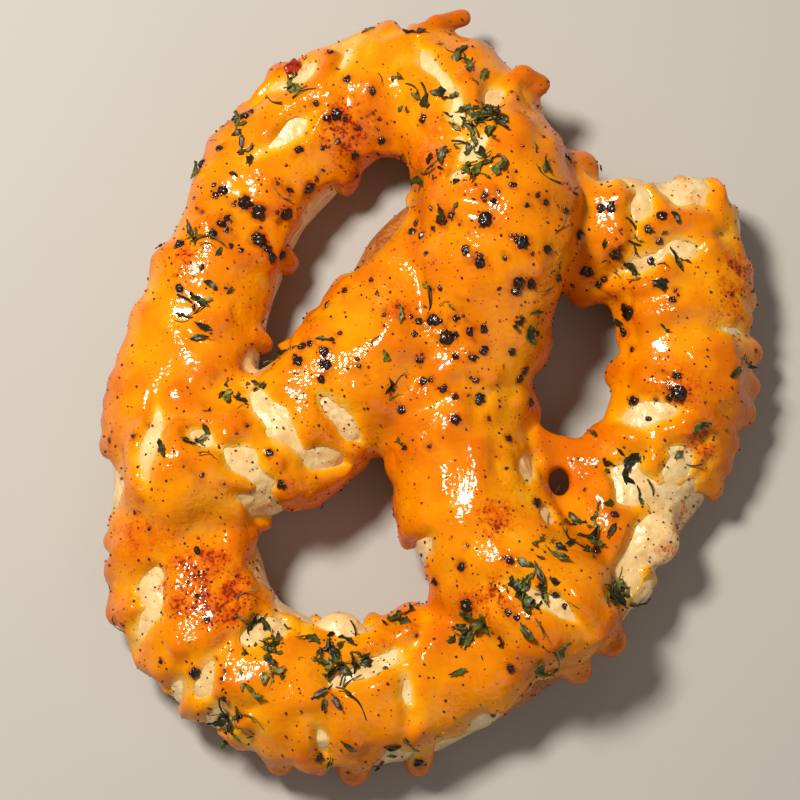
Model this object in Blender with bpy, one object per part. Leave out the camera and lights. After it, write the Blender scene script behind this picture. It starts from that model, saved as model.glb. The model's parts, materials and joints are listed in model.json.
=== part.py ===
"""A baked soft pretzel under a blanket of melted cheese.

Run it with:  blender --background --python part.py

Units are metres and +Z is up. The pretzel lies flat: the origin is the centre of its
footprint, on the surface it rests on. +Y runs along its longest side, from the thick bow
to the long lobe, and +X points to the short lobe.

Two solids are made:
  dough          one rope of dough, tied once and baked into one piece, with a flat base
  melted_cheese  the blanket of cheese that lies over the rope and runs down its sides
"""

import math

import bmesh
import bpy
from mathutils import Matrix, Vector

MM = 0.001

# The rope. Its section is an ellipse: ROPE_WIDTH across, and FLATTEN times that high.
ROPE_WIDTH = 27.0 * MM
FLATTEN = 0.86
BASE_CUT = 1.9 * MM  # how much of the round underside the tray has pressed flat
NARROWEST_REST = 0.9  # the tapered tips keep the height of a rope of this share of ROPE_WIDTH

# The rope's route, from the tip of the left arm to the tip of the lower arm. Each station is
# its x and y in millimetres, how far the rope is lifted off the tray there, in millimetres,
# and its width as a share of ROPE_WIDTH. FOOTPRINT_CENTRE is the point of that plan which
# becomes the origin.
FOOTPRINT_CENTRE = (0.84, 1.72)
STATIONS = (
    (-63.0, -23.0, 11.0, 0.40),  # tip of the left arm, pressed onto the bow
    (-57.0, -20.5, 11.5, 0.92),
    (-43.0, -15.0, 7.0, 1.02),
    (-27.0, -6.0, 3.5, 1.08),  # left arm
    (-9.5, 10.0, 3.0, 1.14),
    (1.5, 30.0, 1.0, 1.05),  # dips under the crossing
    (17.0, 40.5, 0.0, 1.00),
    (35.0, 38.0, 0.5, 1.02),
    (53.0, 32.5, 0.0, 1.05),  # shoulder of the short lobe
    (56.0, 11.0, 0.0, 1.02),
    (51.0, -10.0, 0.0, 0.98),
    (39.0, -31.0, 0.0, 0.90),
    (24.0, -49.0, 0.0, 0.95),  # passes under the lower arm's tip
    (2.0, -61.0, 0.0, 1.06),
    (-21.0, -65.0, 0.0, 1.12),  # the thick bow
    (-41.5, -57.0, 0.0, 1.14),
    (-52.0, -38.0, 0.0, 1.14),
    (-53.5, -12.0, 0.0, 1.08),
    (-51.5, 10.0, 0.0, 1.00),
    (-45.5, 32.0, 0.0, 0.96),  # long lobe
    (-34.5, 52.0, 0.0, 0.94),
    (-16.0, 68.5, 0.0, 0.99),
    (0.5, 68.0, 2.0, 1.02),
    (10.5, 55.0, 9.0, 1.04),
    (15.5, 38.0, 15.0, 1.06),  # the crossing: over the other strand
    (12.0, 18.0, 9.0, 1.06),
    (6.5, 1.0, 4.5, 1.06),
    (8.5, -19.0, 4.0, 1.04),  # lower arm
    (15.0, -36.0, 7.0, 1.04),
    (28.0, -50.0, 11.5, 0.92),
    (33.0, -55.0, 11.0, 0.40),  # tip of the lower arm, pressed onto the bow
)

# The cheese blanket.
GAP = 0.45 * MM  # clear space between the two solids
CHEESE_THICKNESS = 2.4 * MM
EDGE_HEIGHT = 8.0 * MM  # mean height of the blanket's lower edge
DRIP_DEPTH = 2.2 * MM  # how far the edge wanders up and down
DRIP_LENGTHS = (3.1 * MM, 2.9 * MM, 6.5 * MM)  # scale of the waves along x, along y and across
DRIP_BENDS = (7.0 * MM, 9.0 * MM)  # scale of the slow swings that bend the first two
# Where the lower arm leaves the short lobe, cheese bridges the crease between them.
BRIDGE_CENTRE = Vector((27.0, -20.0, 14.5)) * MM
BRIDGE_HALF_SIZE = Vector((9.5, 10.0, 2.2)) * MM

# How finely the solids are made.
CURVE_STEPS = 5
SECTION_STEPS = 5
VOXEL = 1.5 * MM
SMOOTH_STEPS = 9
DOUGH_SHARE = 0.060  # share of its faces that the smoothed rope keeps
CHEESE_SHARE = 0.040
DRIP_CELLS = 38
BRIDGE_STEPS = (20, 10)

# The blocks that cut from below are wider than the pretzel, and as deep as this.
BLOCK_HALF_WIDTH = 100.0 * MM
BLOCK_DEPTH = 20.0 * MM


def clear_scene():
    for obj in list(bpy.data.objects):
        bpy.data.objects.remove(obj)


def link(obj):
    bpy.context.scene.collection.objects.link(obj)
    return obj


def material(name, colour, roughness):
    made = bpy.data.materials.new(name)
    made.use_nodes = True
    shader = made.node_tree.nodes["Principled BSDF"]
    shader.inputs["Base Color"].default_value = (*colour, 1.0)
    shader.inputs["Roughness"].default_value = roughness
    shader.inputs["Metallic"].default_value = 0.0
    return made


def rest_height(width):
    """Height of the rope's centre above the tray where it rests on it."""
    return width / 2 * FLATTEN - BASE_CUT


def rope_mesh(name, extra):
    """The rope as a tube that passes through itself at the crossing, extra thicker all round."""
    curve = bpy.data.curves.new(name + "_route", "CURVE")
    curve.dimensions = "3D"
    curve.resolution_u = CURVE_STEPS
    curve.bevel_depth = 1.0
    curve.bevel_resolution = SECTION_STEPS
    curve.use_fill_caps = True
    spline = curve.splines.new("BEZIER")
    spline.bezier_points.add(len(STATIONS) - 1)
    middle_x, middle_y = FOOTPRINT_CENTRE
    for point, (x, y, lift, share) in zip(spline.bezier_points, STATIONS):
        width = ROPE_WIDTH * share
        rest = rest_height(max(width, NARROWEST_REST * ROPE_WIDTH))
        # The section is drawn round and flattened afterwards, so heights are stretched here.
        height = (rest + lift * MM) / FLATTEN
        point.co = ((x - middle_x) * MM, (y - middle_y) * MM, height)
        point.radius = width / 2 + extra
        point.handle_left_type = "AUTO"
        point.handle_right_type = "AUTO"
    guide = link(bpy.data.objects.new(name + "_guide", curve))
    graph = bpy.context.evaluated_depsgraph_get()
    mesh = bpy.data.meshes.new_from_object(guide.evaluated_get(graph))
    bpy.data.objects.remove(guide)
    mesh.transform(Matrix.Diagonal((1.0, 1.0, FLATTEN, 1.0)))
    mesh.name = name
    return mesh


def add_remesh(obj):
    """Makes one skin of a tube that passes through itself, and softens its creases."""
    remesh = obj.modifiers.new("One_skin", "REMESH")
    remesh.mode = "VOXEL"
    remesh.voxel_size = VOXEL
    smooth = obj.modifiers.new("Soft_creases", "SMOOTH")
    smooth.factor = 0.5
    smooth.iterations = SMOOTH_STEPS


def add_decimate(obj, share):
    decimate = obj.modifiers.new("Fewer_faces", "DECIMATE")
    decimate.decimate_type = "COLLAPSE"
    decimate.ratio = share


def add_boolean(obj, name, cutter, operation="DIFFERENCE"):
    boolean = obj.modifiers.new(name, "BOOLEAN")
    boolean.operation = operation
    boolean.solver = "EXACT"
    boolean.object = cutter


def as_cutter(obj):
    obj.hide_render = True
    obj.display_type = "WIRE"
    return obj


def tray_block():
    """Everything below the tray's surface, as a block that cuts the rope's base flat."""
    mesh = bpy.data.meshes.new("tray_block")
    shape = bmesh.new()
    bmesh.ops.create_cube(shape, size=1.0)
    shape.transform(Matrix.Diagonal((2 * BLOCK_HALF_WIDTH, 2 * BLOCK_HALF_WIDTH, BLOCK_DEPTH, 1.0)))
    shape.transform(Matrix.Translation((0.0, 0.0, -BLOCK_DEPTH / 2)))
    shape.to_mesh(mesh)
    shape.free()
    return as_cutter(link(bpy.data.objects.new("tray_block", mesh)))


def drip_line(x, y):
    """Height of the blanket's lower edge: three crossed waves, so that it hangs in uneven drips."""
    along_x, along_y, across = DRIP_LENGTHS
    bend_x, bend_y = DRIP_BENDS
    first = math.sin(x / along_x + 0.7 * math.sin(y / bend_x))
    second = math.sin(y / along_y + 1.3 * math.sin(x / bend_y) + 1.0)
    third = math.sin((x + y) / across + 2.0)
    return EDGE_HEIGHT + DRIP_DEPTH * (first + second + third) / 2


def drip_block():
    """Everything below the drip line, as a block that gives the blanket its lower edge."""
    mesh = bpy.data.meshes.new("drip_block")
    shape = bmesh.new()
    cells = DRIP_CELLS
    bmesh.ops.create_grid(shape, x_segments=cells, y_segments=cells, size=BLOCK_HALF_WIDTH)
    for vert in shape.verts:
        vert.co.z = drip_line(vert.co.x, vert.co.y)
    made = bmesh.ops.extrude_face_region(shape, geom=list(shape.faces))
    for item in made["geom"]:
        if isinstance(item, bmesh.types.BMVert):
            item.co.z = -BLOCK_DEPTH
    bmesh.ops.recalc_face_normals(shape, faces=list(shape.faces))
    shape.to_mesh(mesh)
    shape.free()
    return as_cutter(link(bpy.data.objects.new("drip_block", mesh)))


def cheese_bridge():
    """The web of cheese over the crease, as a flattened ball that joins the blanket."""
    mesh = bpy.data.meshes.new("cheese_bridge")
    shape = bmesh.new()
    around, down = BRIDGE_STEPS
    bmesh.ops.create_uvsphere(shape, u_segments=around, v_segments=down, radius=1.0)
    shape.transform(Matrix.Diagonal((*BRIDGE_HALF_SIZE, 1.0)))
    shape.transform(Matrix.Translation(BRIDGE_CENTRE))
    shape.to_mesh(mesh)
    shape.free()
    return as_cutter(link(bpy.data.objects.new("cheese_bridge", mesh)))


def evaluated_copy(obj, name):
    graph = bpy.context.evaluated_depsgraph_get()
    mesh = bpy.data.meshes.new_from_object(obj.evaluated_get(graph))
    return link(bpy.data.objects.new(name, mesh))


def build_dough(finish):
    dough = link(bpy.data.objects.new("dough", rope_mesh("dough", 0.0)))
    add_remesh(dough)
    add_decimate(dough, DOUGH_SHARE)
    add_boolean(dough, "Flat_base", tray_block())
    dough.data.materials.append(finish)
    return dough


def build_cheese(dough, finish):
    cheese = link(
        bpy.data.objects.new("melted_cheese", rope_mesh("melted_cheese", GAP + CHEESE_THICKNESS))
    )
    add_remesh(cheese)
    add_decimate(cheese, CHEESE_SHARE)
    room = as_cutter(evaluated_copy(dough, "dough_room"))
    grow = room.modifiers.new("Gap", "DISPLACE")
    grow.strength = GAP
    grow.mid_level = 0.0
    add_boolean(cheese, "Bridge", cheese_bridge(), "UNION")
    add_boolean(cheese, "Dough_room", room)
    add_boolean(cheese, "Drip_edge", drip_block())
    cheese.data.materials.append(finish)
    return cheese


def main():
    clear_scene()
    crust = material("crust", (0.45, 0.19, 0.06), 0.6)
    cheddar = material("cheddar", (0.95, 0.40, 0.03), 0.3)
    dough = build_dough(crust)
    cheese = build_cheese(dough, cheddar)
    for solid in (dough, cheese):
        solid.data.shade_smooth()


main()
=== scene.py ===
# %% [markdown]
# # A soft pretzel baked under melted cheese
# This lesson dresses a plain model of a pretzel: one thick rope of dough, tied once and baked,
# with cream sauce brushed over it, shredded cheese melted on top, and herbs, paprika and
# pepper sprinkled over the cheese. The plain model is called the frame. It gives every size
# and place, so the lesson starts by loading it.

import json
import math

import bmesh
import bpy
import numpy as np
import openvdb
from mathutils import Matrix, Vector
from mathutils.bvhtree import BVHTree

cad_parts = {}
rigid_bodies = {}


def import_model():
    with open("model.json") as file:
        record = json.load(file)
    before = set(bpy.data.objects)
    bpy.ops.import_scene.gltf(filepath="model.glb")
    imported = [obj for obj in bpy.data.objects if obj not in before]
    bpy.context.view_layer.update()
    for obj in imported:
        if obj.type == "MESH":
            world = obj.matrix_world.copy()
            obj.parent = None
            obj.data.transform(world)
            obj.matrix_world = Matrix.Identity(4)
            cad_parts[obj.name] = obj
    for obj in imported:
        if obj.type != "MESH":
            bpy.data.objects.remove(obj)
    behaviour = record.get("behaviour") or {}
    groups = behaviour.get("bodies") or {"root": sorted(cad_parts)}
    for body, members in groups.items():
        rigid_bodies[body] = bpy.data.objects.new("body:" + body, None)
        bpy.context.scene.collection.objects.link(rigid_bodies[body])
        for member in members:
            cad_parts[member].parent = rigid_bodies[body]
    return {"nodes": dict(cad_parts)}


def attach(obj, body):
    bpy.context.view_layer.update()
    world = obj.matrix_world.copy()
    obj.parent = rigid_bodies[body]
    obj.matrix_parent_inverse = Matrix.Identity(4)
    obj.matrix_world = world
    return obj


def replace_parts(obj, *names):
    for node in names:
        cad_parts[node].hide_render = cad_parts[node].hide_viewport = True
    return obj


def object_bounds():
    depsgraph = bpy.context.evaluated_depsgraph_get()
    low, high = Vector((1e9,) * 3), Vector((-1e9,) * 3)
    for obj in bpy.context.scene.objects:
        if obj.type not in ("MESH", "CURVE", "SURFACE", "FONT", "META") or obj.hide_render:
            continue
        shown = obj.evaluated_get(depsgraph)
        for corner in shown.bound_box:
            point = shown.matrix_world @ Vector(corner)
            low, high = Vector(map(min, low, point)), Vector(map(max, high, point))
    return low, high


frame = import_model()
cad_low, cad_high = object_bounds()
MM = 0.001
print("the plain pretzel measures", [round(s / MM, 1) for s in cad_high - cad_low], "mm")

# %% [markdown]
# ## The camera
# The pretzel is looked at from almost straight above, a little from the side of the thick bow.
# A long lens from far away keeps the near and far lobes in proportion.

# %% Place the camera
VIEW_ELEVATION = math.radians(80)
VIEW_DISTANCE = 600 * MM
VIEW_AIM = Vector((-7.0, -2.2, 12.0)) * MM
LENS = 122.7

camera = bpy.data.objects.new("camera", bpy.data.cameras.new("camera"))
bpy.context.scene.collection.objects.link(camera)
away = Vector((0.0, -math.cos(VIEW_ELEVATION), math.sin(VIEW_ELEVATION)))
camera.location = VIEW_AIM + away * VIEW_DISTANCE
camera.rotation_euler = (math.pi / 2 - VIEW_ELEVATION, 0.0, 0.0)
camera.data.lens = LENS
camera.data.sensor_width = 36.0
camera.data.clip_start = 10 * MM
bpy.context.scene.camera = camera

# %% [markdown]
# ## Nodes without the mouse
# Materials and Geometry Nodes are both trees of nodes. One helper adds a node, fills its
# sockets with values or with other nodes' outputs, and hands back one of its own outputs.

# %% A helper for every tree
def add(tree, kind, sockets=None, out=0, **settings):
    """Adds a node and gives one of its outputs, the first unless out says otherwise.

    sockets maps a socket's number or name to a value, or to another node's output.
    """
    made = tree.nodes.new(kind)
    for name, value in settings.items():
        setattr(made, name, value)
    for key, value in (sockets or {}).items():
        socket = made.inputs[key]
        if isinstance(value, bpy.types.NodeSocket):
            tree.links.new(value, socket)
        else:
            socket.default_value = value
    return made.outputs[out] if made.outputs else made


def paint(red, green, blue):
    """A screen colour, 0 to 255, as the linear colour that a shader wants."""
    shares = (channel / 255 for channel in (red, green, blue))
    linear = (s / 12.92 if s <= 0.04045 else ((s + 0.055) / 1.055) ** 2.4 for s in shares)
    return (*linear, 1.0)


# %% [markdown]
# ## The studio
# A pale floor, one small lamp from the upper left, a wide weak one from the lower right, and
# a little warm light from everywhere else. A small lamp makes small, bright reflections, and
# those are what make melted cheese look wet. The Standard view keeps the orange of the cheese
# as strong as it is painted.

# %% Build the floor and the lights
KEY_PLACE = Vector((-0.26, 0.20, 0.62))
KEY_SIZE = 0.13
KEY_POWER = 5.4
KEY_COLOUR = (1.0, 0.93, 0.82)
FILL_PLACE = Vector((0.5, -0.55, 0.6))
FILL_SIZE = 0.8
FILL_POWER = 1.0
FILL_COLOUR = (1.0, 0.96, 0.92)
WORLD_COLOUR = (1.0, 0.9, 0.77, 1.0)
WORLD_STRENGTH = 0.15
FLOOR_HALF = 2.0
FLOOR_COLOUR = (190, 188, 184)


def area_lamp(name, place, size, power, colour):
    lamp = bpy.data.objects.new(name, bpy.data.lights.new(name, "AREA"))
    lamp.data.size = size
    lamp.data.energy = power
    lamp.data.color = colour
    lamp.location = place
    lamp.rotation_euler = (-place).to_track_quat("-Z", "Y").to_euler()
    bpy.context.scene.collection.objects.link(lamp)


area_lamp("key_lamp", KEY_PLACE, KEY_SIZE, KEY_POWER, KEY_COLOUR)
area_lamp("fill_lamp", FILL_PLACE, FILL_SIZE, FILL_POWER, FILL_COLOUR)

world = bpy.data.worlds.new("studio")
bpy.context.scene.world = world
world.use_nodes = True
background = world.node_tree.nodes["Background"]
background.inputs["Color"].default_value = WORLD_COLOUR
background.inputs["Strength"].default_value = WORLD_STRENGTH

floor_mesh = bpy.data.meshes.new("floor")
corners = [(x * FLOOR_HALF, y * FLOOR_HALF, 0.0) for x, y in ((-1, -1), (1, -1), (1, 1), (-1, 1))]
floor_mesh.from_pydata(corners, [], [(0, 1, 2, 3)])
floor = bpy.data.objects.new("floor", floor_mesh)
bpy.context.scene.collection.objects.link(floor)
floor_paint = bpy.data.materials.new("pale_floor")
floor_paint.use_nodes = True
floor_shader = floor_paint.node_tree.nodes["Principled BSDF"]
floor_shader.inputs["Base Color"].default_value = paint(*FLOOR_COLOUR)
floor_shader.inputs["Roughness"].default_value = 0.7
floor_mesh.materials.append(floor_paint)
bpy.context.scene.view_settings.view_transform = "Standard"

# %% [markdown]
# ## Shapes as distance fields
# Melted cheese has no edges to model: it is thick here, thin there, and joins wherever it
# touches. A mesh is awkward for that, but a block of small cells, each holding its distance
# to the surface, is easy. Adding to the distance grows or thins a layer, the lower of two
# distances joins two shapes, and blurring the distances melts them. OpenVDB, which Blender
# carries, turns meshes into such a block and back.

# %% Lay out the block of cells
CELL = 0.45 * MM
ROOM = 6.0 * MM
REACH = 14  # how many cells from the surface a distance is still measured
CELLS_BELOW_TRAY = 8

block_low = np.floor((np.array(cad_low) - ROOM) / CELL).astype(int)
block_high = np.ceil((np.array(cad_high) + ROOM) / CELL).astype(int)
block_low[2] = -CELLS_BELOW_TRAY
BLOCK = tuple(int(n) for n in block_high - block_low + 1)
lines = [(np.arange(BLOCK[k]) + block_low[k]).astype(np.float32) * CELL / MM for k in range(3)]
GX, GY, GZ = lines[0][:, None, None], lines[1][None, :, None], lines[2][None, None, :]
print("the block has", BLOCK, "cells")

# %% Turn meshes into fields and back
GRID_PLACE = openvdb.createLinearTransform(voxelSize=CELL)
BLOCK_START = tuple(int(n) for n in block_low)


def field_of(mesh):
    """The distance in millimetres from every cell to a closed mesh, negative inside it."""
    mesh.calc_loop_triangles()
    points = np.empty(len(mesh.vertices) * 3, np.float32)
    mesh.vertices.foreach_get("co", points)
    corners = np.empty(len(mesh.loop_triangles) * 3, np.int32)
    mesh.loop_triangles.foreach_get("vertices", corners)
    grid = openvdb.FloatGrid.createLevelSetFromPolygons(
        points.reshape(-1, 3),
        triangles=corners.reshape(-1, 3).astype(np.uint32),
        transform=GRID_PLACE,
        halfWidth=float(REACH),
    )
    field = np.empty(BLOCK, np.float32)
    grid.copyToArray(field, ijk=BLOCK_START)
    return field / MM


def mesh_of(field, name, thrift):
    """The surface where a field is zero. More thrift gives larger faces where it is flat."""
    far = REACH * CELL
    grid = openvdb.FloatGrid(background=far)
    grid.transform = GRID_PLACE
    grid.gridClass = openvdb.GridClass.LEVEL_SET
    clipped = np.ascontiguousarray(np.clip(field * MM, -far, far), np.float32)
    grid.copyFromArray(clipped, ijk=BLOCK_START)
    points, triangles, quads = grid.convertToPolygons(0.0, adaptivity=thrift)
    corners = np.concatenate((triangles[:, ::-1].ravel(), quads[:, ::-1].ravel()))
    sides = np.repeat((3, 4), (len(triangles), len(quads)))
    mesh = bpy.data.meshes.new(name)
    mesh.vertices.add(len(points))
    mesh.vertices.foreach_set("co", points.ravel())
    mesh.loops.add(len(corners))
    mesh.loops.foreach_set("vertex_index", corners.astype(np.int32))
    mesh.polygons.add(len(sides))
    mesh.polygons.foreach_set("loop_start", (np.cumsum(sides) - sides).astype(np.int32))
    mesh.update(calc_edges=True)
    mesh.validate()
    return mesh


# %% [markdown]
# ## Tools that work on fields
# Random lumps come from a coarse lattice of seeded random numbers, read through smooth
# B-spline weights, one axis at a time. The rounded joins blend two fields over a radius,
# where a plain minimum would leave a crease.

# %% Lumps, blurs and rounded joins
def spline_weights(count, spacing):
    """How much each cell takes from each point of a lattice that is spacing cells apart."""
    place = np.arange(count) / spacing
    start = np.floor(place).astype(int)
    t = place - start
    shares = ((1 - t) ** 3, 3 * t**3 - 6 * t**2 + 4, -3 * t**3 + 3 * t**2 + 3 * t + 1, t**3)
    weights = np.zeros((count, start[-1] + 4), np.float32)
    for k, share in enumerate(shares):
        weights[np.arange(count), start + k] = share / 6
    return weights


def lumps(size, seed):
    """Soft random lumps about size millimetres across, from about -1 to 1."""
    weights = [spline_weights(count, size * MM / CELL) for count in BLOCK]
    numbers = np.random.default_rng(seed)
    lattice = numbers.uniform(-1, 1, [w.shape[1] for w in weights]).astype(np.float32)
    for w in weights:
        lattice = np.moveaxis(np.tensordot(w, lattice, axes=(1, 0)), 0, 2)
    return lattice / (2.2 * lattice.std())


def blur(field, passes):
    """Each pass mixes every cell with its six neighbours along the three axes."""
    field = np.ascontiguousarray(field)
    for _ in range(passes):
        for axis in range(3):
            count = field.shape[axis]
            whole = [slice(None)] * 3
            before, here, after = (
                (*whole[:axis], slice(first, first + count - 2), *whole[axis + 1 :])
                for first in (0, 1, 2)
            )
            mixed = field.copy()
            mixed[here] += 0.25 * (field[before] - 2 * field[here] + field[after])
            field = mixed
    return field


def join(first, second, radius):
    """Both shapes, with their crease filled to about this radius."""
    near = np.maximum(radius - np.abs(first - second), 0) / radius
    return np.minimum(first, second) - near * near * radius * 0.25


def overlap(first, second, radius):
    """What two shapes share, with its edge rounded to about this radius."""
    return -join(-first, -second, radius)


def rise(field, start, end):
    """0 below start, 1 above end, and a smooth curve in between."""
    t = np.clip((field - start) / (end - start), 0, 1)
    return t * t * (3 - 2 * t)


def pebbles(spacing, seed):
    """How far every column of cells is from the nearest of many points scattered in plan."""
    numbers = np.random.default_rng(seed)
    x, y = (GX[:, 0, 0] - GX.min()) / spacing, (GY[0, :, 0] - GY.min()) / spacing
    places = numbers.uniform(0, 1, (int(x[-1]) + 3, int(y[-1]) + 3, 2))
    nearest = np.full(BLOCK[:2], 9.0)
    for i, j in np.ndindex(3, 3):
        column, row = x.astype(int) + i, y.astype(int) + j
        place = places[column[:, None], row[None, :]]
        aside = column[:, None] - 1 + place[:, :, 0] - x[:, None]
        ahead = row[None, :] - 1 + place[:, :, 1] - y[None, :]
        nearest = np.minimum(nearest, np.hypot(aside, ahead))
    return (nearest * spacing).astype(np.float32)[:, :, None]


def add_rod(field, start, end, radii, radius):
    """Joins a rod with round ends and its own radius at each end, all in millimetres."""
    start, end = np.array(start, float), np.array(end, float)
    reach = max(radii) + 4
    box = []
    for k in range(3):
        low, high = min(start[k], end[k]) - reach, max(start[k], end[k]) + reach
        first = np.searchsorted(lines[k], (low, high))
        box.append(slice(int(first[0]), int(first[1])))
    x, y, z = GX[box[0]] - start[0], GY[:, box[1]] - start[1], GZ[:, :, box[2]] - start[2]
    run = end - start
    share = np.clip((x * run[0] + y * run[1] + z * run[2]) / (run @ run), 0, 1)
    far = np.sqrt((x - share * run[0]) ** 2 + (y - share * run[1]) ** 2 + (z - share * run[2]) ** 2)
    rod = far - (radii[0] + share * (radii[1] - radii[0]))
    field[tuple(box)] = join(field[tuple(box)], rod, radius)


def read(field, points):
    """The field's value at points given in metres, mixed from the eight cells round each."""
    place = points / CELL - block_low
    corner = np.clip(np.floor(place).astype(int), 0, np.array(BLOCK) - 2)
    share = np.clip(place - corner, 0, 1)
    total = 0
    for step in np.ndindex(2, 2, 2):
        weight = np.prod(np.where(step, share, 1 - share), axis=1)
        i, j, k = (corner + step).T
        total = total + weight * field[i, j, k]
    return total


# %% [markdown]
# ## The dough
# The rope of the frame is smooth. Hand-rolled dough isn't: it swells unevenly as it bakes.
# Lumps of two sizes are added to its field. The short lobe's end is trimmed straight, as it
# came out of the oven, and everything below the tray is cut off again, so that the pretzel
# still lies flat.

# %% Swell the dough
SHORT_LOBE_END = 45.2  # the end's y in millimetres
SHORT_LOBE_SIDE = 31  # only what lies right of this x is trimmed
END_ROUNDING = 4.0
TRAY_HEIGHT = 0.05
BASE_ROUNDING = 1.2

dough_field = blur(field_of(frame["nodes"]["dough"].data), 5)
dough_field -= 0.9 * lumps(17, 1) + 0.3 * lumps(6, 2)
past_the_end = np.minimum(GY - SHORT_LOBE_END, GX - SHORT_LOBE_SIDE)
dough_field = overlap(dough_field, past_the_end, END_ROUNDING)
dough_field = overlap(dough_field, -GZ + TRAY_HEIGHT, BASE_ROUNDING)
dough_cells = float((dough_field < 0).sum())
print("the dough fills", round(dough_cells * (CELL / MM) ** 3 / 1000), "cubic cm")

# %% [markdown]
# ## Places on the pretzel
# Cream, cheese and toppings all differ from place to place. A patch is an ellipse seen from
# above: where its centre is, half its length, half its width, and how far it is turned. The
# helper gives a field that is positive inside the patches, in millimetres from their edge,
# and lets that edge wobble.

# %% A helper for patches
EDGE_WOBBLE = 0.8
WOBBLE_SIZE = 3.2


def patch_field(patches, seed, power=2.0):
    """Positive inside patches (x, y, half length, half width, turn), seen from above.

    A power of 2 gives ellipses. The nearer it is to 1, the more pointed their ends are.
    """
    nearest = np.full(BLOCK[:2], -9.0, np.float32)
    for x, y, long_half, short_half, turn in patches:
        c, s = math.cos(math.radians(turn)), math.sin(math.radians(turn))
        along = np.abs(((GX[:, :, 0] - x) * c + (GY[:, :, 0] - y) * s) / long_half)
        across = np.abs((-(GX[:, :, 0] - x) * s + (GY[:, :, 0] - y) * c) / short_half)
        size = (along**power + across**power) ** (1 / power)
        nearest = np.maximum(nearest, (1 - size) * short_half)
    return nearest[:, :, None] + EDGE_WOBBLE * lumps(WOBBLE_SIZE, seed)


# %% [markdown]
# ## The cream sauce
# A pale sauce was brushed on before the cheese. It is a skin of uneven thickness, so it is
# the dough's own field grown by about a millimetre, kept where it is above a wandering lower
# edge, and left out where the crust shows. Dollops of it, as flattened balls, fill the places
# where it was spread thick.

# %% A helper for dollops and webs
def flat_ball(centre, halves):
    """About the distance to a ball that is squashed to its own half size along each axis."""
    offsets = (GX - centre[0], GY - centre[1], GZ - centre[2])
    x, y, z = (offset / half for offset, half in zip(offsets, halves))
    return (np.sqrt(x**2 + y**2 + z**2) - 1) * halves[2]


# %% Spread the cream
BARE_CRUST = (  # x, y, half length, half width, turn
    (-60, 38, 6.5, 3.5, 60),  # the bump outside the long lobe
    (-12.5, 35.5, 9.5, 4.2, 54),  # the flank beside the long lobe's hole
    (22, -68, 6.0, 2.5, 35),  # below the lower arm's tip
)
CREAM_DOLLOPS = (  # x, y, z, radius across, radius up
    (43.5, 39.5, 20.0, 6.2, 4.0),
    (57, 40, 18.0, 6.8, 4.5),
    (63.5, 36, 16.0, 4.6, 5.0),
    (48, -34, 17.0, 5.5, 3.5),
    (43, -43, 14.0, 5.0, 4.5),
    (-20, -55, 19.0, 5.5, 3.0),
)
bare_crust = patch_field(BARE_CRUST, 11)
cream_edge = 8.0 + 2.6 * lumps(11, 12) + 1.0 * lumps(4, 13)
cream_depth = 1.0 + 0.55 * lumps(8, 14) + 0.25 * lumps(2.6, 15)
no_cream = np.maximum(cream_edge - GZ, bare_crust + 1.2)
cream_field = overlap(dough_field - cream_depth, no_cream, 1.0)
for *centre, across, up in CREAM_DOLLOPS:
    cream_field = join(cream_field, flat_ball(centre, (across, across, up)), 3.0)
under_field = np.minimum(dough_field, cream_field)

# %% [markdown]
# ## From field to finished mesh
# The surface of a field has many more faces than it needs, so OpenVDB is asked to be thrifty:
# it keeps small faces where the shape bends and joins them where it is flat. A field can also
# leave crumbs that hang in the air, beside a window for instance. The helper finds the parts
# that hang together, and removes those that are tiny or touch nothing.

# %% A helper that finishes a piece
def loose_parts(mesh):
    """A number for every vertex that is the same all over each part that hangs together."""
    ends = np.empty(len(mesh.edges) * 2, np.int32)
    mesh.edges.foreach_get("vertices", ends)
    first, second = ends.reshape(-1, 2).T
    part = np.arange(len(mesh.vertices))
    while True:
        lowest = np.minimum(part[first], part[second])
        better = part.copy()
        np.minimum.at(better, first, lowest)
        np.minimum.at(better, second, lowest)
        better = better[better]
        if (better == part).all():
            return part
        part = better


LARGEST_GAP = 0.3  # millimetres between a part and the ground that it rests on
FEWEST_VERTICES = 60


def drop_floating(mesh, ground):
    """Removes the tiny parts of a mesh, and those that touch the ground field nowhere."""
    points = np.empty(len(mesh.vertices) * 3, np.float32)
    mesh.vertices.foreach_get("co", points)
    part = loose_parts(mesh)
    lowest = np.full(len(part), 9.0)
    np.minimum.at(lowest, part, read(ground, points.reshape(-1, 3)))
    size = np.bincount(part, minlength=len(part))
    gone = (lowest[part] > LARGEST_GAP) | (size[part] < FEWEST_VERTICES)
    shape = bmesh.new()
    shape.from_mesh(mesh)
    shape.verts.ensure_lookup_table()
    bmesh.ops.delete(shape, geom=[shape.verts[i] for i in np.flatnonzero(gone)], context="VERTS")
    shape.to_mesh(mesh)
    shape.free()
    print("removed", len(np.unique(part[gone])), "floating parts")


def plain_object(name, mesh):
    """An object at the origin, unturned and unscaled."""
    made = bpy.data.objects.new(name, mesh)
    bpy.context.scene.collection.objects.link(made)
    return made


def count_triangles(mesh):
    return sum(len(face.vertices) - 2 for face in mesh.polygons)


def finish_piece(field, name, thrift, material, ground):
    """Makes the field's surface one plain mesh."""
    mesh = mesh_of(field, name, thrift)
    drop_floating(mesh, ground)
    mesh.shade_smooth()
    mesh.materials.append(material)
    print(name, "has", count_triangles(mesh), "triangles")
    return plain_object(name, mesh)


# %% [markdown]
# ## Shredded cheese
# Grated cheese falls as short strands. Each strand is a thin tube that lies on the pretzel:
# on top they point every way, and on the flanks they have slid downhill. Geometry Nodes
# scatter the strands, lay them on the surface, and give each a fat lower end, where the melt
# collects. Every tree needs the same few sockets, sums and random numbers, so helpers for
# those come first.

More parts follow.
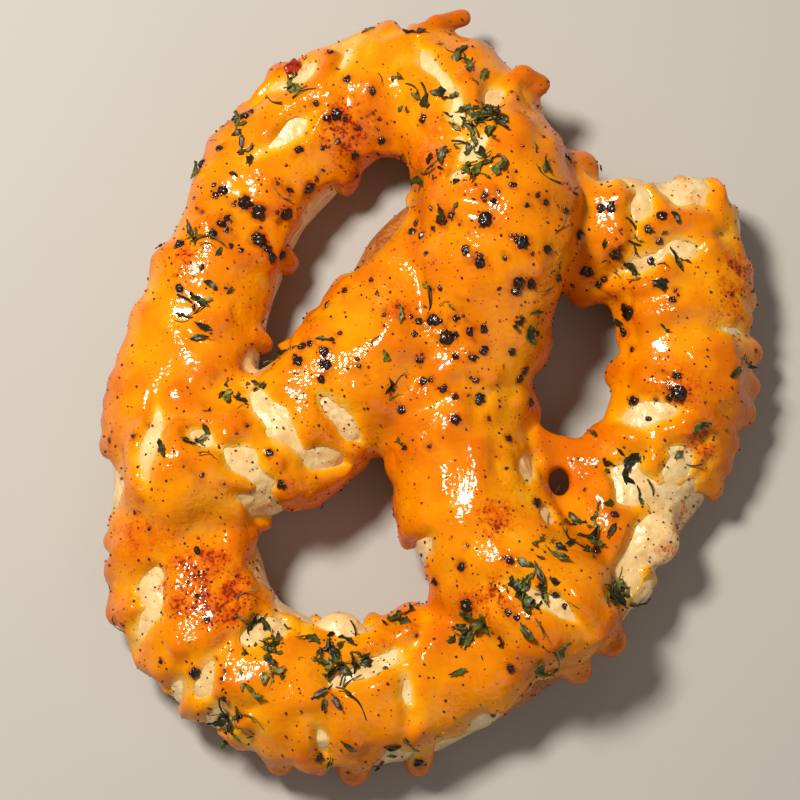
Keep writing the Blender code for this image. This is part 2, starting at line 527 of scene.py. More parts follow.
# %% Make a surface for the strands to lie on
carrier = plain_object("carrier", mesh_of(blur(under_field, 3), "carrier", 0.05))
print("the carrier has", len(carrier.data.polygons), "faces")


# %% Helpers for Geometry Nodes trees
def new_tree(name, floats):
    """An empty tree with one geometry in and out, its named sizes and a seed."""
    tree = bpy.data.node_groups.new(name, "GeometryNodeTree")
    face = tree.interface
    face.new_socket("Geometry", in_out="INPUT", socket_type="NodeSocketGeometry")
    for label, start in floats:
        face.new_socket(label, in_out="INPUT", socket_type="NodeSocketFloat").default_value = start
    face.new_socket("Seed", in_out="INPUT", socket_type="NodeSocketInt")
    face.new_socket("Geometry", in_out="OUTPUT", socket_type="NodeSocketGeometry")
    return tree, tree.nodes.new("NodeGroupInput").outputs


def close_tree(tree, instances, finish=None):
    """Makes instances real, dresses them where there is a finish, and sends them out."""
    whole = add(tree, "GeometryNodeRealizeInstances", {0: instances})
    if finish:
        whole = add(tree, "GeometryNodeSetMaterial", {"Geometry": whole, "Material": finish})
    tree.links.new(whole, tree.nodes.new("NodeGroupOutput").inputs[0])
    return tree


def times(tree, first, second):
    return add(tree, "ShaderNodeMath", {0: first, 1: second}, operation="MULTIPLY")


def plus(tree, first, second):
    return add(tree, "ShaderNodeMath", {0: first, 1: second}, operation="ADD")


def scaled(tree, vector, factor):
    return add(tree, "ShaderNodeVectorMath", {0: vector, "Scale": factor}, operation="SCALE")


def z_of(tree, vector):
    """How far up a place is, or how far up a normal points."""
    return add(tree, "ShaderNodeSeparateXYZ", {0: vector}, out=2)


def random_number(tree, low, high, seed):
    """A number for every point or instance, from low to high."""
    return add(tree, "FunctionNodeRandomValue", {2: low, 3: high, "Seed": seed}, out=1)


def random_vector(tree, low, high, seed):
    sockets = {0: low, 1: high, "Seed": seed}
    return add(tree, "FunctionNodeRandomValue", sockets, data_type="FLOAT_VECTOR")


def turned_to(tree, axis, direction):
    """The turn that points an axis in a direction."""
    return add(tree, "FunctionNodeAlignRotationToVector", {"Vector": direction}, axis=axis)


def moved(tree, geometry, offset):
    return add(tree, "GeometryNodeSetPosition", {"Geometry": geometry, "Offset": offset})


# %% A tree that strews strands over a surface
STEPS_ALONG = 12  # points along each strand
STEPS_ROUND = 8


def strand_tree():
    tree, inlet = new_tree("strew_strands", (
        ("Per square metre", 9000.0),
        ("Length", 0.022),
        ("Radius", 0.0016),
        ("Lowest", 0.009),
        ("Downhill", 3.0),
        ("Wander", 0.004),
    ))
    place = add(tree, "GeometryNodeInputPosition")
    high_enough = add(tree, "FunctionNodeCompare", {0: z_of(tree, place), 1: inlet["Lowest"]})
    points = add(tree, "GeometryNodeDistributePointsOnFaces", {
        "Mesh": inlet["Geometry"],
        "Selection": high_enough,
        "Density": inlet["Per square metre"],
        "Seed": inlet["Seed"],
    })
    normal = points.node.outputs["Normal"]
    # Downhill is what is left of straight down once its part along the normal is removed.
    down = (0, 0, -1)
    steepness = add(tree, "ShaderNodeVectorMath", {0: down, 1: normal}, operation="DOT_PRODUCT", out=1)
    into = scaled(tree, normal, steepness)
    downhill = add(tree, "ShaderNodeVectorMath", {0: down, 1: into}, operation="SUBTRACT")
    pull = scaled(tree, downhill, inlet["Downhill"])
    chance = random_vector(tree, (-1, -1, -1), (1, 1, 1), inlet["Seed"])
    aim = add(tree, "ShaderNodeVectorMath", {0: pull, 1: chance}, operation="ADD")
    line = add(tree, "GeometryNodeCurvePrimitiveLine", {"Start": (-0.5, 0, 0), "End": (0.5, 0, 0)})
    strands = add(tree, "GeometryNodeInstanceOnPoints", {
        "Points": points,
        "Instance": add(tree, "GeometryNodeResampleCurve", {"Curve": line, "Count": STEPS_ALONG}),
        "Rotation": turned_to(tree, "X", aim),
        "Scale": times(tree, random_number(tree, 0.5, 1.3, inlet["Seed"]), inlet["Length"]),
    })
    strands = add(tree, "GeometryNodeRealizeInstances", {0: strands})
    # Each point wanders a little and is then laid back on the surface.
    place = scaled(tree, place, 90.0)
    swirl = add(tree, "ShaderNodeTexNoise", {"Vector": place, "Scale": 1.0}, out=1)
    middle = (0.5, 0.5, 0.5)
    centred = add(tree, "ShaderNodeVectorMath", {0: swirl, 1: middle}, operation="SUBTRACT")
    strands = moved(tree, strands, scaled(tree, centred, inlet["Wander"]))
    near = add(tree, "GeometryNodeProximity", {0: inlet["Geometry"]}, target_element="FACES")
    strands = add(tree, "GeometryNodeSetPosition", {"Geometry": strands, "Position": near})
    along = add(tree, "GeometryNodeSplineParameter")
    fatten = add(tree, "ShaderNodeMapRange", {0: along, 1: 0.0, 2: 1.0, 3: 0.75, 4: 1.3})
    ring = {"Resolution": STEPS_ROUND, "Radius": 1.0}
    tubes = add(tree, "GeometryNodeCurveToMesh", {
        "Curve": strands,
        "Profile Curve": add(tree, "GeometryNodeCurvePrimitiveCircle", ring),
        "Scale": times(tree, fatten, inlet["Radius"]),
        "Fill Caps": True,
    })
    return close_tree(tree, tubes)


STRANDS = strand_tree()


def run_tree(obj, tree, values):
    """Runs a tree on an object and gives the result as a plain mesh."""
    grow = obj.modifiers.new(tree.name, "NODES")
    grow.node_group = tree
    for item in tree.interface.items_tree:
        if item.in_out == "INPUT" and item.name in values:
            grow[item.identifier] = values[item.name]
    graph = bpy.context.evaluated_depsgraph_get()
    mesh = bpy.data.meshes.new_from_object(obj.evaluated_get(graph))
    obj.modifiers.remove(grow)
    return mesh


# %% Strew two handfuls
TOP_HANDFUL = {
    "Per square metre": 6500.0,
    "Length": 0.026,
    "Radius": 0.0023,
    "Lowest": 0.016,
    "Downhill": 1.5,
    "Seed": 5,
}
SIDE_HANDFUL = {
    "Per square metre": 8500.0,
    "Length": 0.013,
    "Radius": 0.0028,
    "Lowest": 0.0095,
    "Downhill": 6.0,
    "Seed": 8,
}
HIGHEST_STRAND = 3.6  # millimetres above the cream, where crossed strands have sunk together


def strew_strands(handful):
    mesh = run_tree(carrier, STRANDS, handful)
    print("a handful of strands:", len(mesh.vertices) // (STEPS_ALONG * STEPS_ROUND))
    return overlap(field_of(mesh), under_field - HIGHEST_STRAND, 1.2)


top_strands = strew_strands(TOP_HANDFUL)
side_strands = strew_strands(SIDE_HANDFUL)

# %% [markdown]
# ## Melting the cheese
# The strands have run together into one blanket. It starts as a skin over the cream, which
# stops at a wandering lower edge and is left open at the windows where the cream shows: most
# are slits with pointed ends, and a few are wide bays at the outline. The strands are joined
# to it with a generous radius, thinner over the windows, and a blur melts the rest.

# %% Places where the cream shows
CREAM_WINDOWS = (  # x, y, half length, half width, turn
    (45, 38, 4.5, 1.6, 80), (51, 28, 9.4, 1.8, 20), (67, 11, 2.6, 1.1, -10),
    (47, -7, 5.3, 1.5, 5), (43, -21, 4.4, 3.7, 60), (53, -17, 4.4, 2.0, 45),
    (50, -25, 2.6, 1.8, 60), (47, -35, 12.1, 3.0, 55), (66, -23, 2.2, 0.9, 45),
    (21, -15, 3.7, 1.5, 85), (-2, -36, 2.4, 1.5, 60), (-48, -14, 3.1, 1.8, -30),
    (-40, -19, 5.5, 1.8, -35), (-33, -10, 7.0, 2.0, -50), (-24, -17, 3.3, 1.8, 0),
    (-19, -10, 3.5, 1.8, -45), (-36, -27, 4.8, 1.8, -15), (-36, 6, 4.0, 1.5, 20),
    (-60, -14, 5.5, 1.3, 85), (-69, -22, 2.6, 1.3, 90), (-60, -46, 5.0, 2.6, 75),
    (-35, -54, 4.0, 2.2, 20), (-12, -61, 6.6, 2.0, 25), (-60, -50, 4.0, 1.3, 65),
    (-55, -67, 4.0, 1.3, 65), (-48, -64, 4.4, 0.9, 60), (-44, -72, 3.5, 1.3, 15),
    (-23, -78, 3.1, 1.3, -70), (-8, -81, 3.3, 1.3, 15), (-5, -72, 4.4, 1.1, -85),
    (10, -74, 5.5, 2.0, 40), (24, -49, 4.8, 2.0, -30), (6, 55, 5.5, 1.8, 90),
    (8, 47, 4.4, 2.0, 60), (13, 61, 2.6, 1.5, 60), (0, 71, 4.8, 0.9, -60),
    (-20, 72, 2.6, 0.7, 60), (-32, 69, 5.3, 1.3, 30), (-32, 56, 4.0, 0.9, 35),
    (-26, 38, 4.8, 2.0, 60), (-66, 24, 1.8, 1.1, 60),
)
CREAM_EDGES = (  # where cream shows right up to the outline
    (43.5, 47.5, 8.0, 4.6, 0), (53.5, 46.5, 6.5, 5.4, 0), (57.0, 42.5, 5.0, 4.0, 0),
    (68.0, 37, 5.5, 2.6, 90), (-32.5, -44.5, 9.5, 3.4, -58), (-21.5, -51.0, 9.0, 3.2, -8),
    (-57.0, -71.0, 6.0, 2.4, -50), (3.0, -79.5, 9.0, 2.6, 12), (51.5, -38.0, 16.0, 3.6, 60),
    (24.0, -70.0, 8.0, 3.0, 35),
)
POINTEDNESS = 1.2
LONGER, WIDER = 1.3, 1.35  # makes up for what the pointed ends lose

blobs = pebbles(8.0, 41)
slits = [(x, y, LONGER * a, WIDER * b, turn) for x, y, a, b, turn in CREAM_WINDOWS]
slits = patch_field(slits, 21, POINTEDNESS) + 0.3 * (blobs - 3.4) + 0.2
crust_window = bare_crust + 0.5
windows = np.maximum(slits, patch_field(CREAM_EDGES, 26))
windows = np.maximum(windows, crust_window)
print("the windows take up", round(float((windows > 0).mean()) * 100, 1), "percent of the block")

# %% Melt the blanket
lower_edge = 12.5 + 3.0 * lumps(9, 22) + 1.0 * lumps(3.5, 23)
blanket_depth = 1.4 + 0.6 * lumps(9, 24) + 0.08 * (3.0 - blobs)
blanket_depth = blanket_depth * rise(-windows, -0.2, 2.6) - np.clip(windows, 0, 0.6)
blanket = overlap(under_field - blanket_depth, lower_edge - GZ, 1.2)
thin_out = 2.6 * rise(windows, -2.2, 0.8)
cheese_field = join(blanket, top_strands + 0.8 + thin_out, 2.6)
side_strands = overlap(side_strands + 0.6 * thin_out, crust_window, 1.6)
cheese_field = join(cheese_field, side_strands, 1.6)

# %% [markdown]
# A few drips and loose shreds stand out at the edge, and a web of cheese spans the crease
# between the lower arm and the short lobe, with a hole and a slit in it. These have places of
# their own, so they are written down one by one. A drip is a short rod with round ends.

# %% Add the drips
DRIPS = (  # start, end and the radius at each
    ((60.0, 46.0, 13), (61.5, 43.5, 18), (1.9, 2.1)),
    ((61.5, 43.5, 18), (64.0, 37.0, 20), (2.1, 2.1)),
    ((64.0, 37.0, 20), (66.5, 30.0, 17), (2.1, 2.6)),
    ((-5, 78, 20), (1, 82.5, 17), (1.6, 1.7)),
    ((1, 82.5, 17), (7, 85, 13), (1.7, 2.2)),
    ((14, 64, 26), (20, 68.5, 24), (1.8, 2.0)),
    ((20, 68.5, 24), (24, 67, 21), (2.0, 2.4)),
    ((-64, -42, 16), (-68, -49, 11), (2.8, 3.2)),
    ((-33, -75, 16), (-33, -81, 8), (2.6, 3.2)),
    ((-25, -75, 16), (-26, -81, 8), (2.4, 3.0)),
    ((-16, -76, 16), (-17, -82.5, 7), (2.8, 3.8)),
    ((-2, -76, 15), (-3, -81, 8), (2.6, 3.3)),
    ((62, 19, 19), (68.5, 20, 11), (3.0, 3.4)),
    ((63, 8, 19), (70, 8.5, 11), (3.0, 3.4)),
    ((63, 1, 19), (69.5, 1, 11), (2.8, 3.2)),
    ((62, -6, 18), (68.5, -5, 11), (2.6, 3.2)),
    ((35, -50, 19), (38.5, -55.5, 15), (4.6, 3.6)),
    ((27, -57, 18), (31.5, -61.5, 12), (4.2, 3.3)),
    ((29, 48, 18), (33, 49.3, 15), (4.2, 4.3)),
)
for start, end, radii in DRIPS:
    add_rod(cheese_field, start, end, radii, 1.5)

# %% Span the crease, and melt it all together
WEB_CENTRE = (27, -20, 14.5)
WEB_HALVES = (9.5, 10, 2.2)
SUNK_IN = 0.35  # how far the cheese reaches into the cream, so that no gap shows


def upright_hole(x, y, radius, wide, long, slant=0.0):
    """Positive inside an oval shaft straight down, radius times wide by radius times long."""
    return radius - np.hypot((GX - x + slant * (GY - y)) / wide, (GY - y) / long)


cheese_field = join(cheese_field, flat_ball(WEB_CENTRE, WEB_HALVES), 3.5)
hole = upright_hole(27.6, -20.9, 2.8, 0.85, 1.12)
slit = upright_hole(24.3, -29.5, 1.6, 0.8, 1.4, slant=0.35)
cheese_field = overlap(cheese_field, np.maximum(hole, slit), 1.0)
cheese_field = blur(cheese_field, 4)
cheese_solid = np.maximum(cheese_field, -(under_field + SUNK_IN))

# %% [markdown]
# ## Finishes
# Every finish is a tree of noise and ramps on Object coordinates, so it needs no unwrapping
# and no picture. A few helpers keep the trees short.

# %% Helpers for finishes
def new_finish(name):
    made = bpy.data.materials.new(name)
    made.use_nodes = True
    return made, made.node_tree, made.node_tree.nodes["Principled BSDF"]


def ramp(tree, value, stops):
    """A colour ramp with stops of (place, colour)."""
    made = tree.nodes.new("ShaderNodeValToRGB")
    tree.links.new(value, made.inputs[0])
    elements = made.color_ramp.elements
    while len(elements) < len(stops):
        elements.new(0.5)
    for element, (place, colour) in zip(elements, stops):
        element.position = place
        element.color = colour
    return made.outputs[0]


def noise(tree, size, detail, roughness=0.5):
    """Soft blotches about size millimetres across. More detail adds finer ones to them."""
    place = add(tree, "ShaderNodeTexCoord", out=3)
    sockets = {"Vector": place, "Scale": 1 / (size * MM), "Detail": detail, "Roughness": roughness}
    return add(tree, "ShaderNodeTexNoise", sockets)


def pips(tree, size, out=0):
    """How far it is to the nearest of many points about size millimetres apart."""
    place = add(tree, "ShaderNodeTexCoord", out=3)
    return add(tree, "ShaderNodeTexVoronoi", {"Vector": place, "Scale": 1 / (size * MM)}, out=out)


def spread(tree, value, low, high, new_low=0.0, new_high=1.0):
    """Maps the range from low to high of a value onto a new one, and clamps it there."""
    return add(tree, "ShaderNodeMapRange", {0: value, 1: low, 2: high, 3: new_low, 4: new_high})


def blend(tree, share, first, second):
    return add(tree, "ShaderNodeMix", {0: share, 6: first, 7: second}, data_type="RGBA", out=2)


def number_on(tree, name):
    return add(tree, "ShaderNodeAttribute", out=2, attribute_name=name)


def bump(tree, relief, pattern, strength, height):
    """One more layer of relief, on top of what is there already."""
    sockets = {"Height": pattern, "Strength": strength, "Distance": height * MM}
    if relief:
        sockets["Normal"] = relief
    return add(tree, "ShaderNodeBump", sockets)


def bumps(tree, shader, layers, coat=None):
    """Relief from layers of (pattern, strength, height in millimetres).

    The coat takes the same relief, with a layer of its own on top where one is given.
    """
    relief = None
    for pattern, strength, height in layers:
        relief = bump(tree, relief, pattern, strength, height)
    tree.links.new(relief, shader.inputs["Normal"])
    if coat:
        relief = bump(tree, relief, *coat)
    tree.links.new(relief, shader.inputs["Coat Normal"])


# %% [markdown]
# ### Paprika dust
# Paprika lies on cream and cheese alike: smears where a pinch fell, and single grains
# everywhere. Both finishes share it, so it is a function that tints any colour. The vertex
# number called paprika says how thick it lies.

# %% Dust any colour with paprika
def dusted(tree, body, light=(208, 66, 2), dark=(120, 22, 4)):
    gather = spread(tree, noise(tree, 3.5, 2.0), 0.35, 0.62, 0.25, 1.1)
    dust = times(tree, number_on(tree, "paprika"), gather)
    smear = plus(tree, times(tree, dust, 0.30), noise(tree, 1.1, 5.0, 0.75))
    body = blend(tree, spread(tree, smear, 0.60, 0.84, 0.0, 0.75), body, paint(*light))
    deep = plus(tree, times(tree, dust, 0.27), noise(tree, 0.8, 3.0))
    body = blend(tree, spread(tree, deep, 0.76, 0.88, 0.0, 0.85), body, paint(*dark))
    # Single grains: a dot in the middle of six cells in ten, picked by the cells' own colours.
    pick = add(tree, "ShaderNodeSeparateColor", {0: pips(tree, 1.5, out=1)})
    dots = add(tree, "ShaderNodeMath", {0: pips(tree, 1.5), 1: 0.14}, operation="LESS_THAN")
    some = add(tree, "ShaderNodeMath", {0: pick, 1: 0.6}, operation="LESS_THAN")
    return blend(tree, times(tree, times(tree, dots, some), 0.75), body, paint(150, 55, 12))


# %% [markdown]
# ### Melted cheese
# The number called depth is how thick the cheese lies over the cream. Thin cheese lets the
# cream through and looks pale yellow, and thick cheese is a deep orange. The flanks that it ran
# down, which face sideways, are painted a deeper orange as painted shade. Round each blister the
# heat has turned it red-brown, which the number called scorch says. Light goes a little way into
# cheese, so it has some subsurface. A coat of oil makes it shine, most of all where it lies
# level. The oil wrinkles in patches, which breaks the lamp's reflection into glints.

# %% The cheese finish
def cheese_colour(tree, facing_up):
    mottle = spread(tree, noise(tree, 5.0, 3.0), 0.3, 0.7, -0.14, 0.12)
    depth = times(tree, number_on(tree, "depth"), 0.25)
    body = ramp(tree, plus(tree, depth, mottle), (
        (0.0, paint(240, 196, 104)),
        (0.07, paint(246, 184, 52)),
        (0.17, paint(249, 166, 2)),
        (0.36, paint(243, 147, 0)),
        (0.75, paint(220, 110, 0)),
    ))
    tone = spread(tree, noise(tree, 15.0, 2.0), 0.35, 0.65)
    body = blend(tree, times(tree, tone, 0.28), body, paint(230, 120, 0))
    fleck = spread(tree, noise(tree, 1.2, 3.0), 0.3, 0.7, 0.5, 1.3)
    scorch = times(tree, number_on(tree, "scorch"), fleck)
    body = blend(tree, scorch, body, paint(150, 44, 6))
    # Painted shade: where the surface faces sideways, the colour is tinted a deeper orange.
    flank_shade = spread(tree, facing_up, 0.0, 0.6, 0.6, 0.0)
    body = blend(tree, flank_shade, body, paint(228, 106, 0))
    return dusted(tree, body)


def cheese_finish():
    made, tree, shader = new_finish("melted_cheddar")
    facing_up = z_of(tree, add(tree, "ShaderNodeTexCoord", out=1))
    tree.links.new(cheese_colour(tree, facing_up), shader.inputs["Base Color"])
    shine = noise(tree, 3.0, 2.0)
    tree.links.new(spread(tree, shine, 0.3, 0.7, 0.2, 0.34), shader.inputs["Roughness"])
    fine = noise(tree, 0.85, 0.5)
    broad = noise(tree, 2.4, 1.0)
    patchy = spread(tree, noise(tree, 6.0, 1.0), 0.4, 0.6, 0.1, 1.0)
    bumps(tree, shader, ((broad, 0.5, 0.4), (fine, patchy, 0.1)), coat=(fine, patchy, 0.13))
    shader.inputs["Specular IOR Level"].default_value = 0.08
    shader.inputs["Specular Tint"].default_value = (1.0, 0.8, 0.5, 1.0)
    shader.inputs["Subsurface Weight"].default_value = 0.05
    shader.inputs["Subsurface Radius"].default_value = (1.0, 0.45, 0.05)
    shader.inputs["Subsurface Scale"].default_value = 1.2 * MM
    tree.links.new(spread(tree, facing_up, 0.15, 0.75, 0.04, 0.85), shader.inputs["Coat Weight"])
    shader.inputs["Coat Roughness"].default_value = 0.075
    shader.inputs["Coat IOR"].default_value = 1.42
    return made


# %% [markdown]
# ### Cream and crust
# The cream is pale, satin and freckled with paprika. The crust is browned by how much heat
# it caught: pale where it lay on the tray, golden brown above, and freckled with dark pores.

# %% The cream and crust finishes
def cream_finish():
    made, tree, shader = new_finish("cream_sauce")
    mottle = noise(tree, 4.0, 3.0)
    body = ramp(tree, mottle, (
        (0.3, paint(230, 186, 118)),
        (0.5, paint(243, 208, 144)),
        (0.7, paint(250, 223, 170)),
    ))
    body = dusted(tree, body, light=(222, 108, 18), dark=(172, 56, 4))
    tree.links.new(body, shader.inputs["Base Color"])
    shader.inputs["Roughness"].default_value = 0.38
    shader.inputs["Subsurface Weight"].default_value = 0.2
    shader.inputs["Subsurface Radius"].default_value = (1.0, 0.6, 0.35)
    shader.inputs["Subsurface Scale"].default_value = 1.2 * MM
    fine = noise(tree, 1.0, 3.0)
    broad = noise(tree, 3.0, 1.0)
    bumps(tree, shader, ((broad, 0.7, 1.0), (fine, 0.5, 0.3)))
    shader.inputs["Coat Weight"].default_value = 0.35
    shader.inputs["Coat Roughness"].default_value = 0.2
    return made


def crust_finish():
    made, tree, shader = new_finish("baked_crust")
    height = z_of(tree, add(tree, "ShaderNodeTexCoord", out=3))
    wave = times(tree, noise(tree, 9.0, 4.0), 0.5)
    heat = plus(tree, spread(tree, height, 0.0, 6.0 * MM, 0.0, 0.55), wave)
    body = ramp(tree, heat, (
        (0.15, paint(230, 190, 132)),
        (0.35, paint(218, 160, 86)),
        (0.60, paint(214, 144, 62)),
        (0.85, paint(188, 108, 38)),
        (1.0, paint(134, 68, 22)),
    ))
    pores = pips(tree, 1.6)
    pitted = spread(tree, pores, 0.05, 0.22, 0.55, 0.0)
    body = blend(tree, pitted, body, paint(112, 56, 20))
    freckle = noise(tree, 1.3, 4.0, 0.7)
    body = blend(tree, spread(tree, freckle, 0.5, 0.72, 0.0, 0.6), body, paint(146, 76, 26))
    tree.links.new(body, shader.inputs["Base Color"])
    shader.inputs["Roughness"].default_value = 0.4
    fine = noise(tree, 0.9, 3.0)
    broad = noise(tree, 3.2, 2.0)
    bumps(tree, shader, ((broad, 0.9, 2.0), (fine, 0.9, 0.9), (pores, 0.5, 0.5)))
    return made


# %% Make the three main pieces
CREAM_SUNK_IN = 0.4  # how far the cream reaches into the dough
cream_solid = np.maximum(cream_field, -(dough_field + CREAM_SUNK_IN))
dough = finish_piece(dough_field, "pretzel_dough", 0.02, crust_finish(), dough_field)
cream = finish_piece(cream_solid, "cream_sauce_layer", 0.06, cream_finish(), dough_field)
cheese = finish_piece(cheese_solid, "cheese_blanket", 0.08, cheese_finish(), under_field)

# %% [markdown]
# ## Where the toppings go
# Toppings fall on whatever is outermost, cheese or cream, so they get one outer skin to lie
# on. A topping that gathers in places is described by a few heaps: where the heap is, how
# far it spreads, and how thick it lies. Each vertex adds up the heaps near it.

# %% The outer skin and the heaps
def store(piece, name, values):
    """Keeps one number per vertex on a piece, for its material or its tree to read."""
    kept = piece.data.attributes.new(name, "FLOAT", "POINT")
    kept.data.foreach_set("value", np.asarray(values, np.float32))


def vertices_of(piece):
    points = np.empty(len(piece.data.vertices) * 3, np.float32)
    piece.data.vertices.foreach_get("co", points)
    return points.reshape(-1, 3)


def heaped(points, heaps):
    """How thick a topping lies at points, from heaps of (x, y, width, thickness)."""
    total = np.zeros(len(points), np.float32)
    for x, y, width, thickness in heaps:
        far = ((points[:, 0] / MM - x) ** 2 + (points[:, 1] / MM - y) ** 2) / width**2
        total += thickness * np.exp(-far)
    return total


skin = plain_object("skin", mesh_of(np.minimum(under_field, cheese_field), "skin", 0.03))

PAPRIKA_HEAPS = (
    (-18, 59, 6, 1.0), (-20, 54, 5, 0.8), (-55, 27, 4.5, 1.4), (-49, -40, 7, 0.8),
    (-49, -48, 7, 1.0), (-42, -50, 5, 0.8), (53, -1, 4.5, 1.5), (68, 25, 5, 1.3),
    (58, -13, 4.5, 1.3), (14, -31, 5, 1.3), (12, -48, 5, 1.4), (-8, 16, 4.5, 1.1),
    (56, -29, 6, 1.0), (-44, -43, 6, 0.7), (50, -38, 5, 0.8), (0, 48, 5, 0.9),
    (-53, -45, 9, 0.5), (-31, 73, 4, 0.9), (22, -66, 5, 0.9), (65, 18, 6, 0.6),
    (-22, -10, 8, 0.6), (-64, -33, 6, 0.8), (-12, -57, 6, 0.6), (57, 42, 5, 0.5),
)
THICKEST_PAPRIKA = 1.2
for piece in (cheese, cream):
    thickness = heaped(vertices_of(piece), PAPRIKA_HEAPS)
    store(piece, "paprika", np.minimum(thickness, THICKEST_PAPRIKA))

# %% [markdown]
# ## Char blisters
# Where a bubble of cheese broke under the grill, it left a black, glassy bead. The big ones
# are put where they stand out. Small ones are strewn at random, thickest over the middle.
# Every bead is dropped straight down onto the skin, and half sunk into it.

# %% Drop the blisters
BIG_BLISTERS = (  # x, y, diameter
    (-41, 40, 3.0), (-38, 38, 3.4), (-32, 38, 2.6), (-38, 32, 3.2), (-36, 30, 2.0),
    (-27, 44, 2.6), (-46, 35, 2.0), (-21, 60, 2.8), (-11, 55, 1.8), (-17, 52, 2.2),
    (2, 33, 2.8), (11, 32, 2.7), (19, 27, 2.8), (32, 32, 1.7), (10, 23, 2.6),
    (18, 19, 2.6), (27, 21, 1.8), (34, 25, 2.3), (40, 28, 3.0), (39, 38, 2.0),
    (50, 36, 1.9), (47, 33, 1.6), (43, 16, 3.2), (39, 19, 2.2), (42, 12, 1.9),
    (3, 8, 3.2), (0, 12, 2.4), (5, 12, 1.6), (8, 9, 2.0), (-2, -1, 1.8),
    (10, -5, 2.0), (12, -9, 1.2), (53, -3, 3.2), (7, -49, 2.8), (-6, -15, 1.3),
    (-35, 28, 1.8), (-46, 43, 1.8), (-23, 59, 1.6), (13, 36, 1.8), (24, 36, 1.4),
)
BLISTER_HEAPS = (
    (8, 20, 22, 1.0), (-38, 36, 16, 1.1), (42, 25, 14, 1.0), (-18, 56, 12, 0.8), (4, -2, 14, 0.7),
    (-56, -15, 16, 0.5), (10, -45, 14, 0.5), (52, -4, 10, 0.6), (-40, -60, 20, 0.35), (-20, 5, 14, 0.5),
)
SMALL_BLISTERS = 240
LOWEST_BLISTER = 10 * MM
STEEPEST_BLISTER = 0.35  # the skin's normal points up at least this much under a blister


skin_rays = BVHTree.FromObject(skin, bpy.context.evaluated_depsgraph_get())


def drop(x, y):
    """Where a thing that falls straight down lands, and which way the skin faces there."""
    place, normal, _, _ = skin_rays.ray_cast(Vector((x, y, 60.0)) * MM, Vector((0, 0, -1)))
    return place, normal


blister_numbers = np.random.default_rng(31)
landed = []
for x, y, across in BIG_BLISTERS:
    place, normal = drop(x, y)
    if place:
        landed.append((place, normal, across / 2))
while len(landed) < len(BIG_BLISTERS) + SMALL_BLISTERS:
    x, y, chance = blister_numbers.uniform((-72, -84, 0), (72, 84, 1.1))
    thick = heaped(np.array(((x * MM, y * MM, 0.0),)), BLISTER_HEAPS)[0] + 0.1
    place, normal = drop(x, y)
    if place and place.z > LOWEST_BLISTER and normal.z > STEEPEST_BLISTER and chance < thick:
        landed.append((place, normal, float(blister_numbers.uniform(0.5, 1.0) ** 2.2)))
print(len(landed), "blisters")


# %% A tree that sets beads at points
def point_cloud(name, rows):
    """A mesh of loose vertices, each with its own normal and size."""
    mesh = bpy.data.meshes.new(name)
    mesh.from_pydata([place for place, _, _ in rows], [], [])
    facing = mesh.attributes.new("facing", "FLOAT_VECTOR", "POINT")
    facing.data.foreach_set("vector", np.array([tuple(n) for _, n, _ in rows], np.float32).ravel())
    size = mesh.attributes.new("size", "FLOAT", "POINT")
    size.data.foreach_set("value", np.array([radius * MM for _, _, radius in rows], np.float32))
    return plain_object(name, mesh)


def named(tree, name, kind="FLOAT"):
    return add(tree, "GeometryNodeInputNamedAttribute", {"Name": name}, data_type=kind)


def bead_tree(finish):
    """Sets a crumpled bead at every point. Lift and roughness are shares of its radius."""
    tree, inlet = new_tree("set_beads", (("Lift", 0.08), ("Roughness", 1.1)))
    up = named(tree, "facing", "FLOAT_VECTOR")
    size = named(tree, "size")
    raised = moved(tree, inlet["Geometry"], scaled(tree, up, times(tree, size, inlet["Lift"])))
    squash = random_vector(tree, (0.75, 0.75, 0.4), (1.3, 1.3, 0.6), inlet["Seed"])
    beads = add(tree, "GeometryNodeInstanceOnPoints", {
        "Points": add(tree, "GeometryNodeMeshToPoints", {"Mesh": raised}),
        "Instance": add(tree, "GeometryNodeMeshIcoSphere", {"Radius": 1.0, "Subdivisions": 3}),
        "Rotation": turned_to(tree, "Z", up),
        "Scale": scaled(tree, squash, size),
    })
    beads = add(tree, "GeometryNodeRealizeInstances", {0: beads})
    # The skin of a burnt bubble is crumpled, so every vertex moves along its normal.
    place = add(tree, "GeometryNodeInputPosition")
    crumple = add(tree, "ShaderNodeTexNoise", {"Vector": place, "Scale": 1300.0, "Detail": 4.0})
    centred = add(tree, "ShaderNodeMath", {0: crumple, 1: 0.5}, operation="SUBTRACT")
    amount = times(tree, times(tree, centred, inlet["Roughness"]), size)
    normal = add(tree, "GeometryNodeInputNormal")
    beads = moved(tree, beads, scaled(tree, normal, times(tree, amount, 2.0)))
    beads = add(tree, "GeometryNodeSetShadeSmooth", {"Geometry": beads})
    return close_tree(tree, beads, finish)


def char_finish():
    made, tree, shader = new_finish("char")
    small = spread(tree, number_on(tree, "size"), 0.3 * MM, 0.9 * MM, 0.3, 0.0)
    body = ramp(tree, plus(tree, noise(tree, 1.0, 3.0), small), (
        (0.4, paint(14, 8, 6)),
        (0.62, paint(40, 14, 8)),
        (0.9, paint(120, 38, 8)),
    ))
    tree.links.new(body, shader.inputs["Base Color"])
    shader.inputs["Roughness"].default_value = 0.25
    fine = noise(tree, 0.3, 2.0)
    bumps(tree, shader, ((fine, 0.6, 0.1),))
    shader.inputs["Coat Weight"].default_value = 0.5
    shader.inputs["Coat Roughness"].default_value = 0.1
    return made


def grown_piece(name, ground, tree, values):
    """Runs a tree on the ground object and makes the result a piece of its own."""
    mesh = run_tree(ground, tree, values)
    mesh.name = name
    print(name, "has", count_triangles(mesh), "triangles")
    return plain_object(name, mesh)


blister_points = point_cloud("blister_points", landed)
blisters = grown_piece("char_blisters", blister_points, bead_tree(char_finish()), {"Seed": 3})
bpy.data.objects.remove(blister_points)

